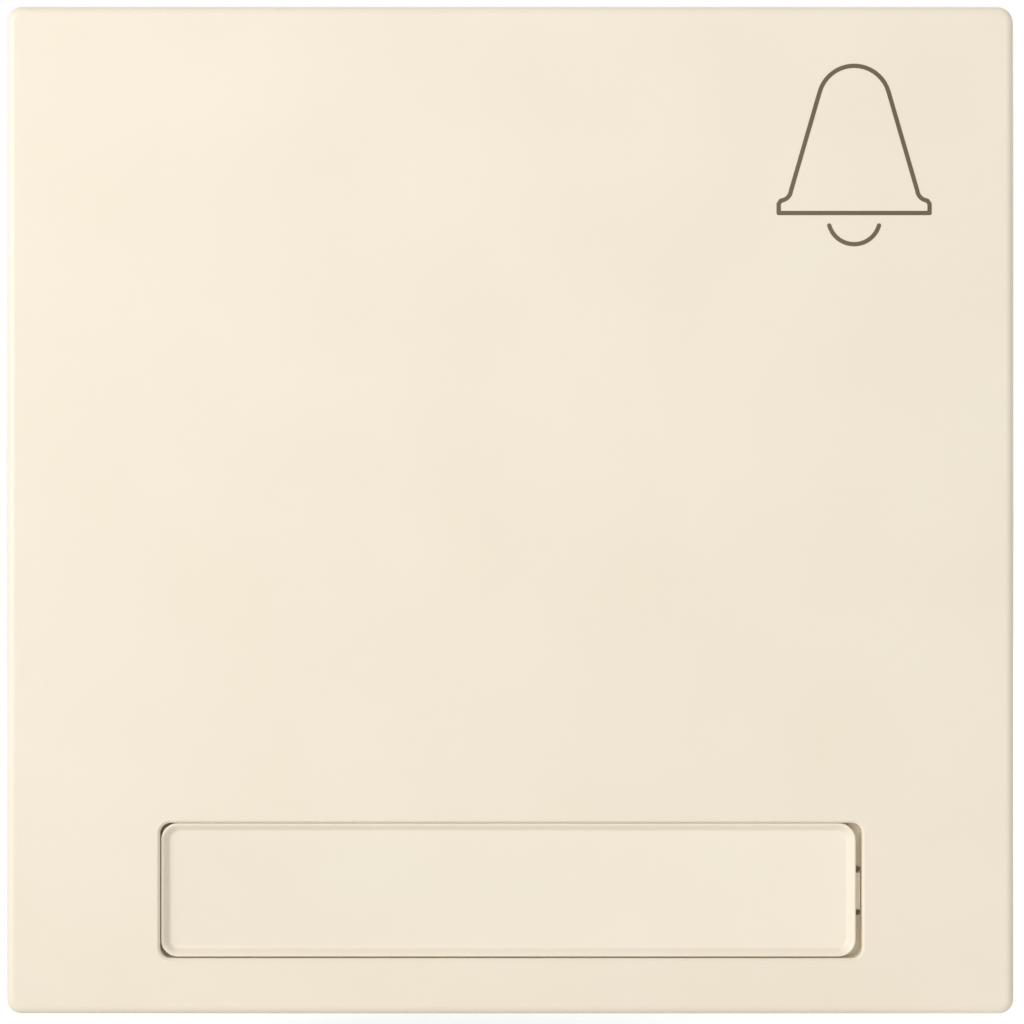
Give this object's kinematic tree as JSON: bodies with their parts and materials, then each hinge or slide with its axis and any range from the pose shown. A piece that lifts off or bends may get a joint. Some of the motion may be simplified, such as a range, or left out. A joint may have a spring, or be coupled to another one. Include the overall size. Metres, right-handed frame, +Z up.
{
  "type": "doorbell push button",
  "caption": "Square flush-mounted doorbell push button: tilting cream plate with a bell sign and a windowed name field, over a sprung contact unit on a steel plate.",
  "frame": {"origin": "middle of the support plate's rear face, on the wall's surface", "axes": "+X to the right as seen from the room, +Z up, +Y into the wall; the button plate faces -Y"},
  "size_m": [0.055, 0.0323, 0.055],
  "materials": {
    "cream_plastic": "moulded, satin gloss, cream white",
    "bell_print": "printed thin line, dark taupe",
    "ivory_card": "blank ivory card",
    "milky_plastic": "milky moulded plastic, satin",
    "carrier_plastic": "moulded, light grey",
    "frame_plastic": "moulded, grey white",
    "housing_plastic": "moulded, fine eroded grey",
    "lever_plastic": "moulded, orange",
    "zinc_plated_steel": "rolled and zinc plated",
    "screw_steel": "zinc plated",
    "pin_steel": "drawn",
    "spring_steel": "stainless spring wire and strip",
    "brass_strip": "stamped strip",
    "contact_silver": "silver, burnished"
  },
  "bodies": {
    "base": {"support_plate": "zinc_plated_steel", "base_housing": "housing_plastic", "bearing_frame": "frame_plastic", "frame_screws": "screw_steel", "feed_busbar": "brass_strip", "contact_busbar": "brass_strip", "fixed_contact": "contact_silver", "lever_pin": "pin_steel", "contact_spring": "spring_steel", "return_spring_left": "spring_steel", "return_spring_right": "spring_steel", "clamp_spring_left": "spring_steel", "clamp_spring_right": "spring_steel"},
    "rocker": {"rocker_plate": "cream_plastic", "bell_symbol": "bell_print", "name_card": "ivory_card", "rocker_yoke": "carrier_plastic"},
    "window": {"label_window": "milky_plastic"},
    "contact_arm": {"contact_lever": "brass_strip", "moving_contact": "contact_silver"},
    "release_left": {"release_lever_left": "lever_plastic"},
    "release_right": {"release_lever_right": "lever_plastic"}
  },
  "joints": [
    {"name": "rocker_press", "type": "hinge", "parent": "base", "child": "rocker", "pos_m": [0, -0.0052, 0], "axis": [1, 0, 0], "range_deg": [0, 3], "stiffness_Nm_per_rad": 0.8, "springref_deg": -2.86, "deforming": ["return_spring_left", "return_spring_right"]},
    {"name": "lever_follow", "type": "hinge", "parent": "base", "child": "contact_arm", "pos_m": [0, 0.00415, 0.01], "axis": [1, 0, 0], "range_deg": [0, 1.6], "deforming": ["contact_spring"]},
    {"name": "window_lift", "type": "slide", "parent": "rocker", "child": "window", "axis": [0, -1, 0], "range_m": [0, 0.006]},
    {"name": "release_press_left", "type": "slide", "parent": "base", "child": "release_left", "axis": [0, -1, 0], "range_m": [0, 0.0016], "stiffness_N_per_m": 600, "springref_m": -0.002, "deforming": ["clamp_spring_left"]},
    {"name": "release_press_right", "type": "slide", "parent": "base", "child": "release_right", "axis": [0, -1, 0], "range_m": [0, 0.0016], "stiffness_N_per_m": 600, "springref_m": -0.002, "deforming": ["clamp_spring_right"]}
  ],
  "couplings": [
    {"joint": "lever_follow", "follows": "rocker_press", "ratio": 0.5}
  ]
}
